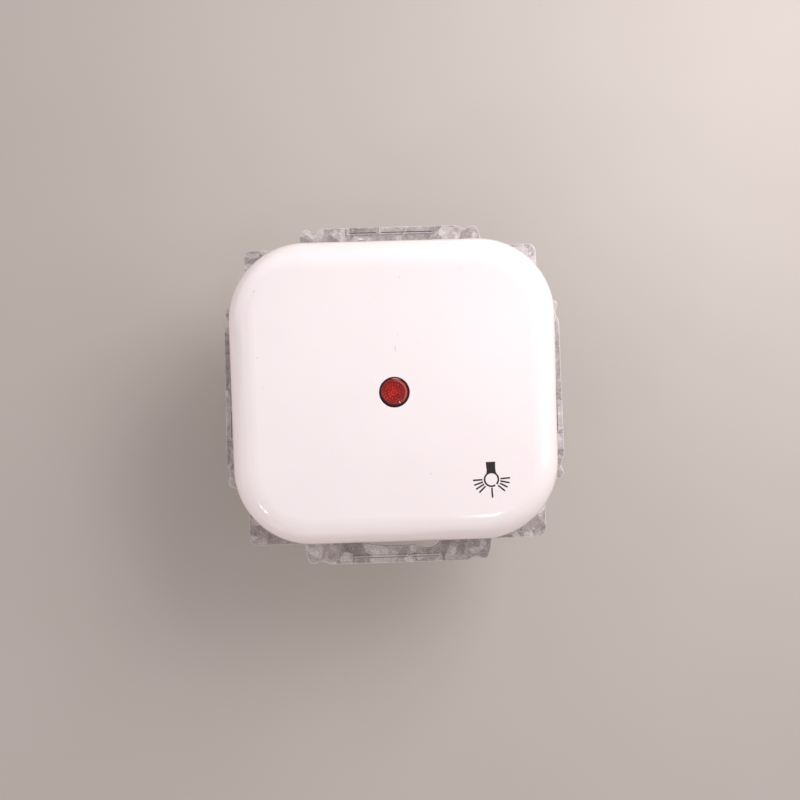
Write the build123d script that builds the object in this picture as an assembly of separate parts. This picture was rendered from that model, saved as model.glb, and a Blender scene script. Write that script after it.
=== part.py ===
from build123d import *
import math
import os

os.makedirs("parts", exist_ok=True)

# Flush-mounted two-pole rocker switch with a centre indicator lens.
# Frame: +Z out of the wall, +Y up as installed, +X to the right, in millimetres.
# Origin: centre of the mounting frame on its back face, the wall plane (z = 0).
# The rocker rests in a stable position with its lower edge pressed.

# ---------------------------------------------------------------- driving dimensions
TILT = 4.0            # rocker tilt from level at either stable position, degrees
LEVER_RATIO = 2.75    # contact lever degrees per rocker degree, turning the other way
PIVOT_Z = 5.6         # rocker's pivot axis, which lies along X
POLE_X = 10.6         # middle of each pole
SCREW_X, SCREW_Y = 12.5, 22.3   # assembly screws

ROCKER_W, ROCKER_H = 65.4, 60.6
ROCKER_R = 15.6       # corner radius in plan
ROCKER_EDGE = 6.0     # round-over of the face edge
ROCKER_RIM = 4.6      # rim height, rocker level
ROCKER_TOP = 13.0     # face height, rocker level
ROCKER_WALL = 2.0
ROCKER_UNDER = ROCKER_TOP - ROCKER_WALL
LENS_R = 2.85

BASE_X, BASE_Y = 17.9, 19.9     # half sizes
BASE_BACK, BASE_TOP = -26.0, 0.78
REAR_WALL = 2.5
BASE_INSIDE = BASE_BACK + REAR_WALL

PAST = 1              # how far a cutter runs past the face it opens
SIDES = (-1, 1)
CORNERS = [(sx, sy) for sx in SIDES for sy in SIDES]


# ---------------------------------------------------------------- helpers
def block(x0, x1, y0, y1, z0, z1):
    """Box between limits, given in either order."""
    centre = Pos((x0 + x1) / 2, (y0 + y1) / 2, (z0 + z1) / 2)
    return centre * Box(abs(x1 - x0), abs(y1 - y0), abs(z1 - z0))


def rounded_block(width, height, radius, z0, z1):
    """Plate centred on the Z axis with rounded corners in plan."""
    return extrude(Plane.XY.offset(z0) * RectangleRounded(width, height, radius), z1 - z0)


def cyl_x(y, z, radius, x0, x1):
    return Pos((x0 + x1) / 2, y, z) * Rot(0, 90, 0) * Cylinder(radius, abs(x1 - x0))


def cyl_y(x, z, radius, y0, y1):
    return Pos(x, (y0 + y1) / 2, z) * Rot(90, 0, 0) * Cylinder(radius, abs(y1 - y0))


def cyl_z(x, y, radius, z0, z1):
    return Pos(x, y, (z0 + z1) / 2) * Cylinder(radius, abs(z1 - z0))


def rod(start, end, radius):
    """Round bar between two points."""
    direction = tuple(b - a for a, b in zip(start, end))
    plane = Plane(origin=start, z_dir=direction)
    return extrude(plane * Circle(radius), math.dist(start, end))


def prism_x(points, x0, x1):
    """Closed (y, z) polygon extruded along X."""
    x0, x1 = sorted((x0, x1))
    plane = Plane(origin=(x0, 0, 0), x_dir=(0, 1, 0), z_dir=(1, 0, 0))
    return extrude(plane * make_face(Polyline(*points, close=True)), x1 - x0)


def prism_z(points, z0, z1):
    """Closed (x, y) polygon extruded along Z."""
    return extrude(Plane.XY.offset(z0) * make_face(Polyline(*points, close=True)), z1 - z0)


def front_edges(shape):
    return shape.faces().sort_by(Axis.Z)[-1].edges()


def back_edges(shape):
    return shape.faces().sort_by(Axis.Z)[0].edges()


def upper_or_lower(shape, sy):
    """Keep a shape built on the upper side, or mirror it to the lower side."""
    return shape if sy > 0 else mirror(shape, about=Plane.XZ)


def cross_recess(x, y, z_top, depth, half, width):
    z0, z1 = z_top - depth, z_top + 0.2
    across = block(x - half, x + half, y - width / 2, y + width / 2, z0, z1)
    return across + block(x - width / 2, x + width / 2, y - half, y + half, z0, z1)


def strip_outline(points, thickness):
    """Outline of a strip that follows a (y, z) polyline."""
    left, right = [], []
    last = len(points) - 1
    for i, (y, z) in enumerate(points):
        before = points[max(i - 1, 0)]
        after = points[min(i + 1, last)]
        dy, dz = after[0] - before[0], after[1] - before[1]
        scale = thickness / 2 / math.hypot(dy, dz)
        left.append((y - dz * scale, z + dy * scale))
        right.append((y + dz * scale, z - dy * scale))
    return left + right[::-1]


def save(name, *shapes):
    """Write all the solids of the shapes to one STEP file."""
    solids = [solid for shape in shapes for solid in shape.solids()]
    piece = solids[0] if len(solids) == 1 else Compound(children=solids)
    export_step(piece, f"parts/{name}.step")


# ---------------------------------------------------------------- rocker plate and lens
CARRIER_BACK, CARRIER_TOP = 7.4, 9.2
CLIP_HALF = 1.3       # half width of the clip legs
RIB_T = 1.0
RIB_BACK = 9.6        # back edge of the outer ribs


def rocker_plate():
    rim_edge = 0.45
    outer = rounded_block(ROCKER_W, ROCKER_H, ROCKER_R, ROCKER_RIM, ROCKER_TOP)
    outer = fillet(front_edges(outer), ROCKER_EDGE)
    outer = fillet(back_edges(outer), rim_edge)
    wall = ROCKER_WALL
    inner = rounded_block(ROCKER_W - 2 * wall, ROCKER_H - 2 * wall, ROCKER_R - wall,
                          ROCKER_RIM - PAST, ROCKER_UNDER)
    inner = fillet(front_edges(inner), ROCKER_EDGE - wall)
    body = outer - inner
    # seat ring and hole for the lens
    body += cyl_z(0, 0, 5.2, 9.5, ROCKER_UNDER + 0.5)
    body -= cyl_z(0, 0, 4.12, 9.0, ROCKER_UNDER)
    body -= cyl_z(0, 0, LENS_R + 0.13, ROCKER_UNDER - PAST, ROCKER_TOP + PAST)
    # ribs, the first pair resting on the carrier
    root = ROCKER_UNDER + 0.4
    carrier_rib, side_rib, outer_rib = 10.1, 16.8, 20.2
    for s in SIDES:
        body += block(-13, 13, s * carrier_rib, s * (carrier_rib + RIB_T), CARRIER_TOP + 0.02, root)
        body += block(s * side_rib, s * (side_rib + RIB_T), -20, 20, RIB_BACK, root)
        body += block(-22, 22, s * outer_rib, s * (outer_rib + RIB_T), RIB_BACK, root)
    # clip legs with barbs that catch under the carrier
    leg_back, barb_tip, barb_y = 6.3, 7.25, 9.95
    for sx, sy in CORNERS:
        x0, x1 = sx * POLE_X - CLIP_HALF, sx * POLE_X + CLIP_HALF
        leg = block(x0, x1, sy * 7.7, sy * 9.5, leg_back, root)
        barb = [(9.3, barb_tip), (barb_y, barb_tip), (barb_y, 6.95), (9.3, leg_back)]
        leg += prism_x([(sy * y, z) for y, z in barb], x0, x1)
        body += leg
    return body


def indicator_lens():
    dome_rise = 0.35
    dome_r = (LENS_R ** 2 + dome_rise ** 2) / (2 * dome_rise)
    edge_z = ROCKER_TOP - 0.1
    ball = Pos(0, 0, edge_z + dome_rise - dome_r) * Sphere(dome_r)
    window = cyl_z(0, 0, LENS_R, ROCKER_UNDER - 0.5, edge_z + 2) & ball
    body = window + cyl_z(0, 0, 4.0, 10.0, ROCKER_UNDER - 0.02)
    body -= cyl_z(0, 0, 2.45, 9.5, 12.1)
    return body


# ---------------------------------------------------------------- rocker carrier and plungers
TRUNNION_R = 1.5
TIP_DROP = 11.6       # plunger tip below the rocker's pivot
TIP_R = 1.2


def rocker_carrier():
    """Plate with two plunger sleeves and a trunnion at each side."""
    sleeve_r, sleeve_back = 2.9, -2.6
    bore_r, bore_end = 2.1, 7.8
    plate = rounded_block(27.8, 23.0, 1.2, CARRIER_BACK, CARRIER_TOP)
    plate -= rounded_block(12.4, 12.4, 2.0, 7.0, 10.0)
    for s in SIDES:
        plate += cyl_z(s * POLE_X, 0, sleeve_r, sleeve_back, CARRIER_TOP)
        plate += cyl_x(0, PIVOT_Z, TRUNNION_R, s * 13.1, s * 16.2)
        plate += block(s * 13.0, s * 13.9, -2.2, 2.2, PIVOT_Z, 7.6)
    slot_half = CLIP_HALF + 0.15
    for s in SIDES:
        x = s * POLE_X
        plate -= cyl_z(x, 0, bore_r, sleeve_back - 0.6, bore_end)
        for sy in SIDES:
            plate -= block(x - slot_half, x + slot_half, sy * 7.55, sy * 9.7, 7.0, 10)
    return plate


def plunger(side):
    x = side * POLE_X
    tip_centre = PIVOT_Z - TIP_DROP + TIP_R
    body = Pos(x, 0, tip_centre) * Sphere(TIP_R)
    body += cyl_z(x, 0, TIP_R, tip_centre, -1.4)
    body += cyl_z(x, 0, 2.02, -1.6, 0.4)    # guide collar
    body += cyl_z(x, 0, 1.1, 0.3, 3.2)      # spring spigot
    return body


def plunger_spring(side):
    wire_r, coil_r, turns = 0.24, 1.64, 6
    z0, z1 = 0.68, 7.54
    height = z1 - z0
    path = Pos(side * POLE_X, 0, z0) * Helix(pitch=height / turns, height=height, radius=coil_r)
    section = Plane(origin=path @ 0, z_dir=path % 0) * Circle(wire_r)
    return sweep(section, path=path, is_frenet=True)


def on_rocker(shape):
    """Tilt a piece built level to the rocker's rest position."""
    return Pos(0, 0, PIVOT_Z) * Rot(TILT, 0, 0) * Pos(0, 0, -PIVOT_Z) * shape


# ---------------------------------------------------------------- contact levers
FULCRUM_Z = -7.2      # contact lever axis
ARM_DEG = 14.0        # slope of each lever arm
LEVER_T = 0.9
LEVER_HALF = 8.5      # half length
LEVER_REST = -TILT * LEVER_RATIO
CONTACT_Y = 7.1       # contact's distance below the lever axis
HEAD_R, HEAD_T = 1.3, 0.7       # moving contact's head
RUN_GAP = 0.03        # gap left at the fixed contact and at the rest stop

ARM_SLOPE = math.tan(math.radians(ARM_DEG))
ARM_COS = math.cos(math.radians(ARM_DEG))
TIP_H = PIVOT_Z - TIP_DROP - FULCRUM_Z      # plunger tip above the lever axis
# bottom of the V, set so that the ball tip clears both arms by 0.02
VALLEY = TIP_H - TIP_R * (1 / ARM_COS - 1) - 0.02 / ARM_COS


def lever_under(y):
    """Underside height of a level lever above its axis, at distance y."""
    return VALLEY + ARM_SLOPE * abs(y) - LEVER_T / ARM_COS


def turned(y, z, degrees):
    angle = math.radians(degrees)
    cos, sin = math.cos(angle), math.sin(angle)
    return y * cos - z * sin, y * sin + z * cos


def contact_place(side):
    """Contact's place under a level lever whose axis is at z = 0."""
    return Pos(side * POLE_X, -CONTACT_Y, lever_under(CONTACT_Y)) * Rot(-ARM_DEG, 0, 0)


def on_lever_axis(shape):
    """Turn a piece built about z = 0 to the lever's rest angle, at the lever axis."""
    return Pos(0, 0, FULCRUM_Z) * Rot(LEVER_REST, 0, 0) * shape


def contact_lever(side):
    x, end = side * POLE_X, LEVER_HALF
    top, under = VALLEY + ARM_SLOPE * end, lever_under(end)
    points = [(-end, top), (0, VALLEY), (end, top),
              (end, under), (0, lever_under(0)), (-end, under)]
    body = prism_x(points, x - 2.2, x + 2.2)
    body -= cyl_x(0, 0, 0.65, x - 3, x + 3)
    body -= contact_place(side) * Cylinder(0.83, 5)
    return on_lever_axis(body)


def moving_contact(side):
    """Rivet: head under the lever, shank through it, closing head above."""
    rivet = cyl_z(0, 0, HEAD_R, -HEAD_T, 0)
    rivet += cyl_z(0, 0, 0.8, -0.2, LEVER_T + 0.2)
    rivet += cyl_z(0, 0, 1.15, LEVER_T + 0.02, LEVER_T + 0.32)
    return on_lever_axis(contact_place(side) * rivet)


def fixed_contact_top():
    """Height just below the moving contact's lowest point, lever closed."""
    angle = math.radians(ARM_DEG)
    heights = []
    for edge in (-HEAD_R, HEAD_R):
        y = -CONTACT_Y - math.cos(angle) * edge - HEAD_T * math.sin(angle)
        z = lever_under(CONTACT_Y) + math.sin(angle) * edge - HEAD_T * math.cos(angle)
        heights.append(turned(y, z, -LEVER_REST)[1])
    return FULCRUM_Z + min(heights) - RUN_GAP


STOP_Y0, STOP_Y1 = 6.2, 7.8     # span of the rest stop under the lever's upper arm


def stop_top():
    """Height just below the lever's upper arm over the rest stop, lever open."""
    heights = []
    for stop_y in (STOP_Y0, STOP_Y1):
        for i in range(300):
            along = 5.5 + 0.01 * i
            y, z = turned(along, lever_under(along), LEVER_REST)
            if abs(y - stop_y) < 0.02:
                heights.append(z)
    return FULCRUM_Z + min(heights) - RUN_GAP


# ---------------------------------------------------------------- conductors
STRIP_T = 1.0
COMMON_TOP = -9.1     # top of the common strip
SWITCHED_TOP = -8.1   # top of the switched strip
NARROW_HALF, WIDE_HALF = 2.4, 4.2
WIDE_Y = 13.0         # where the strips widen
LEG_Y1 = 18.1         # outer face of the terminal legs
LEG_Y0 = LEG_Y1 - STRIP_T
LEG_END = -23.0


def common_terminal(side):
    x = side * POLE_X
    top, back = COMMON_TOP, COMMON_TOP - STRIP_T
    pivot_r = 0.6
    body = block(x - NARROW_HALF, x + NARROW_HALF, -pivot_r, pivot_r, back, FULCRUM_Z)
    body += cyl_x(0, FULCRUM_Z, pivot_r, x - NARROW_HALF, x + NARROW_HALF)
    body += block(x - 1.2, x + 1.2, -pivot_r, LEG_Y1, back, top)
    body += block(x - WIDE_HALF, x + WIDE_HALF, WIDE_Y, LEG_Y1, back, top)
    body += block(x - WIDE_HALF, x + WIDE_HALF, LEG_Y0, LEG_Y1, LEG_END, top)
    return body


def switched_terminal(side):
    x = side * POLE_X
    top, back = SWITCHED_TOP, SWITCHED_TOP - STRIP_T
    body = block(x - NARROW_HALF, x + NARROW_HALF, -LEG_Y1, -4.9, back, top)
    body += block(x - WIDE_HALF, x + WIDE_HALF, -LEG_Y1, -WIDE_Y, back, top)
    body += block(x - WIDE_HALF, x + WIDE_HALF, -LEG_Y1, -LEG_Y0, LEG_END, top)
    body += block(side * 3.6, x, -8.8, -6.4, back, top)     # tab for the lamp lead
    return body


def fixed_contacts():
    top = fixed_contact_top()
    return [cyl_z(s * POLE_X, -CONTACT_Y, 1.5, SWITCHED_TOP, top) for s in SIDES]


# ---------------------------------------------------------------- wire clamps
BUTTON_HALF = 1.0
BUTTON_Y0, BUTTON_Y1 = 13.3, 14.9


def clamp_spring(side, sy):
    """Straight leg, with a bend and a slanting tongue on each side of the button."""
    x = side * POLE_X
    thickness, half_width, gap_half = 0.35, 4.1, 0.5
    leg_y, bend_r, bend_z = 11.15, 1.1, -20.2
    bend = []
    for i in range(9):
        angle = math.radians(180 + i * 17.0)
        bend.append((leg_y + bend_r + bend_r * math.cos(angle), bend_z + bend_r * math.sin(angle)))
    leg = [(leg_y, -13.0), (leg_y, bend_z)]
    loop = [(leg_y, -18.0)] + bend + [(16.75, -15.6)]
    body = prism_x(strip_outline(leg, thickness), x - half_width, x + half_width)
    for k in SIDES:
        body += prism_x(strip_outline(loop, thickness), x + k * gap_half, x + k * half_width)
    return upper_or_lower(body, sy)


def release_button(side, sy):
    x = side * POLE_X
    body = block(x - BUTTON_HALF, x + BUTTON_HALF, BUTTON_Y0, BUTTON_Y1, BASE_BACK + 0.1, -19.0)
    flange_z = BASE_INSIDE + 0.05
    body += block(x - 1.55, x + 1.55, 13.25, 15.15, flange_z, flange_z + 0.8)
    # slanted nose, parallel to the spring tongue and just below it
    body -= prism_x([(12.0, -23.0), (16.0, -17.22), (16.0, -10.0), (12.0, -10.0)], x - 3, x + 3)
    # screwdriver groove
    body -= block(x - 0.35, x + 0.35, BUTTON_Y0 - PAST, BUTTON_Y1 + PAST,
                  BASE_BACK - PAST, BASE_BACK + 0.55)
    return upper_or_lower(body, sy)


# ---------------------------------------------------------------- switch base
CLAW_PIN_X, CLAW_PIN_Z = 20.0, -8.5
CHAMBER_HALF = 4.5
WIRE_DX, WIRE_Y, WIRE_R = 3.1, 15.3, 1.4


def cut_pole(body, side):
    """Chambers, strip grooves and rear openings of one pole, with its rest stop."""
    x = side * POLE_X
    x0, x1 = x - CHAMBER_HALF, x + CHAMBER_HALF
    front = BASE_TOP + PAST
    groove = COMMON_TOP - STRIP_T - 0.02
    body -= block(x0, x1, -10.7, 10.7, COMMON_TOP, front)
    body -= block(x - 2.5, x + 2.5, -1.6, 1.2, groove, COMMON_TOP + PAST)
    body -= block(x - 1.3, x + 1.3, 1.0, 11.0, groove, COMMON_TOP + PAST)
    button_half = BUTTON_HALF + 0.08
    wall_cut = (BASE_BACK - PAST, BASE_INSIDE + PAST)
    for sy in SIDES:
        body -= block(x0, x1, sy * 10.6, sy * 18.3, BASE_INSIDE, front)
        for k in SIDES:
            wire_x, wire_y = x + k * WIRE_DX, sy * WIRE_Y
            body -= cyl_z(wire_x, wire_y, WIRE_R, *wall_cut)
            body -= Pos(wire_x, wire_y, BASE_BACK + 0.3) * Cone(WIRE_R + 0.5, WIRE_R, 0.7)
        body -= block(x - button_half, x + button_half,
                      sy * (BUTTON_Y0 - 0.1), sy * (BUTTON_Y1 + 0.1), *wall_cut)
    # rest stop for the lever's upper arm, either side of the common strip
    for k in SIDES:
        body += block(x + k * 1.4, x + k * 2.2, STOP_Y0, STOP_Y1, COMMON_TOP - 0.3, stop_top())
    # way through for the lamp's contact tab
    body -= block(side * 4.9, side * 6.4, -8.9, -6.3,
                  SWITCHED_TOP - STRIP_T - 0.02, SWITCHED_TOP + 0.6)
    return body


def switch_base():
    boss_r, boss_back = 2.4, -8.0
    body = rounded_block(2 * BASE_X, 2 * BASE_Y, 2.2, BASE_BACK, BASE_TOP)
    body = chamfer(back_edges(body), 0.7)
    # screw bosses and claw pin lugs
    for sx, sy in CORNERS:
        x, y = sx * SCREW_X, sy * SCREW_Y
        body += cyl_z(x, y, boss_r, boss_back, BASE_TOP)
        body += block(x - boss_r, x + boss_r, sy * 19.0, y, boss_back, BASE_TOP)
        body += block(sx * 17.0, sx * 21.6, sy * 4.2, sy * 6.4, -10.6, -6.2)
    for side in SIDES:
        body = cut_pole(body, side)
    # lamp pocket
    body -= block(-5.1, 5.1, -9.6, 5.1, SWITCHED_TOP - STRIP_T - 0.02, BASE_TOP + PAST)
    # pilot holes and claw pin holes
    for sx in SIDES:
        for sy in SIDES:
            body -= cyl_z(sx * SCREW_X, sy * SCREW_Y, 1.27, -7.4, BASE_TOP + PAST)
        body -= cyl_y(sx * CLAW_PIN_X, CLAW_PIN_Z, 1.02, -8, 8)
    # vertical grip ribs on the upper and lower walls, between the screw bosses
    rib_pitch, rib_half = 2.2, 0.4
    for sy in SIDES:
        for i in range(-3, 4):
            x = i * rib_pitch
            body += block(x - rib_half, x + rib_half, sy * 19.7, sy * 20.35, -22.0, -9.5)
    # shallow I-shaped strip-length gauge on the back
    gauge_half = 5.5
    gauge_z = (BASE_BACK - PAST, BASE_BACK + 0.4)
    body -= block(-0.6, 0.6, -gauge_half, gauge_half, *gauge_z)
    for sy in SIDES:
        body -= block(-2.0, 2.0, sy * 4.9, sy * gauge_half, *gauge_z)
    return body


# ---------------------------------------------------------------- front cover
COVER_BACK, COVER_TOP = 0.8, 3.2


def front_cover():
    ear_r, ear_back = 2.6, 1.84
    through = (COVER_BACK - PAST, COVER_TOP + PAST)
    foot = COVER_TOP - 0.2      # raised features start inside the plate
    cover = rounded_block(32.8, 36.8, 1.6, COVER_BACK, COVER_TOP)
    for sx, sy in CORNERS:
        x, y = sx * SCREW_X, sy * SCREW_Y
        cover += block(x - ear_r, x + ear_r, sy * 17.5, y, ear_back, COVER_TOP)
        cover += cyl_z(x, y, ear_r, ear_back, COVER_TOP)
    # bearing posts with a low wing along each
    for s in SIDES:
        cover += block(s * 14.4, s * 16.4, -3.2, 3.2, foot, 8.4)
        cover += block(s * 15.2, s * 16.0, -6.4, 6.4, foot, 5.2)
    # sleeve windows, trunnion holes and the flared slots in front of them
    slot_half, flare_half, flare_z = 1.35, 2.1, 7.6
    slot = [(-slot_half, PIVOT_Z), (slot_half, PIVOT_Z), (slot_half, flare_z),
            (flare_half, 8.9), (-flare_half, 8.9), (-slot_half, flare_z)]
    for s in SIDES:
        x0, x1 = s * 14.0, s * 16.8
        cover -= block(s * 7.25, s * 13.95, -4.4, 4.4, *through)
        cover -= cyl_x(0, PIVOT_Z, TRUNNION_R + 0.05, x0, x1)
        cover -= prism_x(slot, x0, x1)
    # lamp opening and screw holes
    cover -= block(-5.15, 5.15, -5.15, 5.15, *through)
    for sx, sy in CORNERS:
        cover -= cyl_z(sx * SCREW_X, sy * SCREW_Y, 1.35, *through)
    # raised bead along the upper and lower edge of the cover
    for sy in SIDES:
        cover += block(-8.5, 8.5, sy * 16.6, sy * 17.4, foot, COVER_TOP + 0.8)
    return cover


# ---------------------------------------------------------------- mounting frame
FRAME_T = 1.0         # sheet thickness
CORE = 31.0           # half side of the frame's square
TAB_U = 19.3          # half width of each edge tab
TAB_V = 35.4          # half span across opposite tabs
JOG = 0.8             # forward offset of the frame's middle
JOG_X, JOG_Y = 20.7, 24.8
JOG_WALL = 0.8
OPEN_X, OPEN_Y = 16.6, 18.6
FIXING_R = 60.0 / 2   # fixing circle of the wall box
SLOT_HALF = 2.03      # half width of the arc slots
KEY_R = 3.3           # keyhole radius
KEY_DEG = 11.7        # keyhole offset from the tab's middle
SLOT_END_DEG = -13.0
CLAW_SCREW_X = CLAW_PIN_X + 4.4
FRAME_CUT = (-1, 4)   # z range of cutters through the frame

# half of a tab, from inside the square to its flat outer edge:
# (distance from the tab's middle, distance from the frame's centre)
HALF_TAB = [
    (TAB_U + 0.15, CORE - 6), (TAB_U + 0.15, CORE), (TAB_U - 0.05, 32.6),
    (TAB_U - 0.35, 34.1), (18.45, 34.95), (17.75, 35.2), (17.1, 35.0), (16.4, 34.68),
    (15.6, 34.72), (14.9, 35.1), (14.2, TAB_V - 0.04), (13.2, TAB_V),
]

# narrow sheared lines along the lower tab, which leave two spring strips: x0, x1, y0, y1
SHEAR_LINES = [
    (-9.1, 2.0, -34.34, -34.08), (2.8, 8.75, -34.34, -34.08),
    (1.76, 2.0, -36.5, -34.2), (8.53, 8.75, -34.9, -33.75),
]


def polar(radius, degrees):
    angle = math.radians(degrees)
    return radius * math.cos(angle), radius * math.sin(angle)


def tab_cutter():
    """Arc slot with its keyhole, and the sheared lines, of the lower tab."""
    start, end = -90 + SLOT_END_DEG, -90 + KEY_DEG
    angles = (start, (start + end) / 2, end)
    inner = [polar(FIXING_R - SLOT_HALF, a) for a in angles]
    outer = [polar(FIXING_R + SLOT_HALF, a) for a in angles]
    face = make_face([ThreePointArc(*inner), Line(inner[2], outer[2]),
                      ThreePointArc(*outer[::-1]), Line(outer[0], inner[0])])
    z0, z1 = FRAME_CUT
    cut = extrude(Plane.XY.offset(z0) * face, z1 - z0)
    cut += cyl_z(*polar(FIXING_R, start), SLOT_HALF, z0, z1)
    cut += cyl_z(*polar(FIXING_R, end), KEY_R, z0, z1)
    for line in SHEAR_LINES:
        cut += block(*line, z0, z1)
    return cut


def mounting_frame():
    frame = rounded_block(2 * CORE, 2 * CORE, 1.7, 0, FRAME_T)
    tab = prism_z([(-u, v) for u, v in HALF_TAB] + HALF_TAB[::-1], 0, FRAME_T)
    for quarter in range(4):
        frame += Rot(0, 0, 90 * quarter) * tab
    # the middle is set forward, joined to the sheet by a ring wall
    jog_hole = rounded_block(2 * JOG_X, 2 * JOG_Y, 2.0, *FRAME_CUT)
    jog_outer = (2 * (JOG_X + JOG_WALL), 2 * (JOG_Y + JOG_WALL), 2.6)
    frame -= jog_hole
    frame += rounded_block(*jog_outer, JOG, JOG + FRAME_T)
    frame += rounded_block(*jog_outer, 0, JOG + FRAME_T) - jog_hole
    frame -= rounded_block(2 * OPEN_X, 2 * OPEN_Y, 1.8, *FRAME_CUT)
    cutter = tab_cutter()
    for quarter in range(4):
        frame -= Rot(0, 0, 90 * quarter) * cutter
    # claw screw and assembly screw holes
    for sx in SIDES:
        frame -= cyl_z(sx * CLAW_SCREW_X, 0, 1.7, *FRAME_CUT)
        for sy in SIDES:
            frame -= cyl_z(sx * SCREW_X, sy * SCREW_Y, 1.45, *FRAME_CUT)
    return frame


# ---------------------------------------------------------------- claws, built on the right
CLAW_HALF_T = 0.6     # half sheet thickness
NUT_R = 2.2


def claw():
    pin_x, pin_z, half_t = CLAW_PIN_X, CLAW_PIN_Z, CLAW_HALF_T
    foot_z = -23.0
    body = cyl_y(pin_x, pin_z, 1.8, -4.0, 4.0)
    body += block(pin_x, 26.4, -4.0, 4.0, pin_z - half_t, pin_z + half_t)
    body += block(pin_x - half_t, pin_x + half_t, -4.0, 4.0, foot_z, pin_z)
    body += block(pin_x - half_t, 25.8, -5.0, 5.0, foot_z, foot_z + 2 * half_t)
    body -= block(pin_x - 3, 28, -1.9, 1.9, -16.5, -5)
    # V notches in the foot's outer edge, then a half notch at each corner
    mouth_x, root_x, notch_half, corner_y = 26.2, 23.9, 1.75, 5.3
    notches = [[(mouth_x, y - notch_half), (mouth_x, y + notch_half), (root_x, y)]
               for y in (-notch_half, notch_half)]
    notches += [[(mouth_x, s * corner_y), (mouth_x, s * 2 * notch_half), (root_x, s * corner_y)]
                for s in SIDES]
    for notch in notches:
        body -= prism_z(notch, -24, -20)
    body -= cyl_y(pin_x, pin_z, 1.04, -8, 8)
    return body


def claw_nut():
    x = CLAW_SCREW_X
    z = CLAW_PIN_Z - CLAW_HALF_T - NUT_R - 0.05
    return cyl_y(x, z, NUT_R, -3.6, 3.6) - cyl_z(x, 0, 1.53, z - 4, z + 4)


def claw_screw():
    x, head_top = CLAW_SCREW_X, 2.9
    shank = cyl_z(x, 0, 1.5, -13.5, 1.6)
    head = cyl_z(x, 0, 2.75, 1.04, head_top)
    head = fillet(front_edges(head), 0.7)
    screw = shank + head
    screw = chamfer(back_edges(screw), 0.5)
    return screw - cross_recess(x, 0, head_top, depth=1.3, half=1.5, width=0.6)


def claw_pins():
    return [cyl_y(s * CLAW_PIN_X, CLAW_PIN_Z, 1.0, -6.4, 6.4) for s in SIDES]


def assembly_screw(x, y):
    head_top = 4.6
    head = cyl_z(x, y, 2.2, COVER_TOP + 0.02, head_top)
    head = fillet(front_edges(head), 0.6)
    shank = cyl_z(x, y, 1.25, -6.8, 3.4)
    shank = chamfer(back_edges(shank), 0.6)
    return (head + shank) - cross_recess(x, y, head_top, depth=1.1, half=1.2, width=0.5)


# ---------------------------------------------------------------- glow lamp
LEAD_X = 0.8          # leads and electrodes off the lamp's axis
LEAD_R = 0.25
BULB_R, BULB_WALL = 2.2, 0.45
# right lead, from the lamp to the contact tab: x, y, z
LEAD = [(LEAD_X, 0, 1.4), (LEAD_X, 0, -2.2), (3.9, -4.2, -6.4), (4.3, -7.6, -7.83)]


def lamp_holder():
    body = block(-5.0, 5.0, -5.0, 5.0, -1.0, 3.4) + block(-6.2, 6.2, -6.2, 6.2, 3.24, 4.4)
    body += cyl_z(0, 0, 3.4, 4.2, 5.4)
    body -= cyl_z(0, 0, BULB_R + 0.1, 0.2, 6)
    for s in SIDES:
        body -= cyl_z(s * LEAD_X, 0, 0.33, -2, 1)
        body -= block(s * 3.4, s * 5.2, -1.4, 1.4, -2, 2.0)
    return body


def domed_cylinder(radius, z0):
    dome_z = 7.2
    return cyl_z(0, 0, radius, z0, dome_z) + Pos(0, 0, dome_z) * Sphere(radius)


def glow_lamp():
    return domed_cylinder(BULB_R, 0.25) - domed_cylinder(BULB_R - BULB_WALL, -1)


def lamp_lead(side):
    points = [(side * x, y, z) for x, y, z in LEAD]
    wire = rod(points[0], points[1], LEAD_R)
    for start, end in zip(points[1:], points[2:]):
        wire += rod(start, end, LEAD_R)
        wire += Pos(*start) * Sphere(LEAD_R)
    return wire


def lamp_electrodes():
    return [cyl_z(s * LEAD_X, 0, 0.4, 1.42, 6.6) for s in SIDES]


def lamp_resistor():
    """Sleeve around the sloping run of the right lead."""
    start, end = LEAD[1], LEAD[2]
    body_ends = [tuple(a + (b - a) * share for a, b in zip(start, end)) for share in (0.25, 0.82)]
    return rod(*body_ends, 0.85) - rod(start, end, LEAD_R + 0.02)


# ---------------------------------------------------------------- write the parts
save("rocker_plate", on_rocker(rocker_plate()))
save("indicator_lens", on_rocker(indicator_lens()))
save("rocker_carrier", on_rocker(rocker_carrier()))
for side, hand in ((-1, "left"), (1, "right")):
    save(f"plunger_{hand}", on_rocker(plunger(side)))
    save(f"plunger_spring_{hand}", on_rocker(plunger_spring(side)))
    for build in (contact_lever, moving_contact, common_terminal, switched_terminal):
        save(f"{build.__name__}_{hand}", build(side))
    for sy, level in ((1, "upper"), (-1, "lower")):
        for build in (clamp_spring, release_button):
            save(f"{build.__name__}_{level}_{hand}", build(side, sy))
for build in (claw, claw_nut, claw_screw):
    piece = build()
    save(f"{build.__name__}_right", piece)
    save(f"{build.__name__}_left", Rot(0, 0, 180) * piece)
for build in (switch_base, front_cover, mounting_frame, lamp_holder, glow_lamp, lamp_resistor):
    save(build.__name__, build())
for build in (fixed_contacts, claw_pins, lamp_electrodes):
    save(build.__name__, *build())
save("assembly_screws", *[assembly_screw(sx * SCREW_X, sy * SCREW_Y) for sx, sy in CORNERS])
save("lamp_leads", *[lamp_lead(side) for side in SIDES])
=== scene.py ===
# An illuminated rocker light switch in a galvanised mounting frame with two claws.
# The face looks along +Z and the camera looks down on it, with +Y up and +X to the right.
# The rocker turns about an axis along X and rests with its +Y side raised.
# Names that end in _left lie at -X. Lengths are in mm unless said otherwise; MM takes
# them to metres.
import math

import bmesh
import bpy
from mathutils import Matrix, Vector


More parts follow.
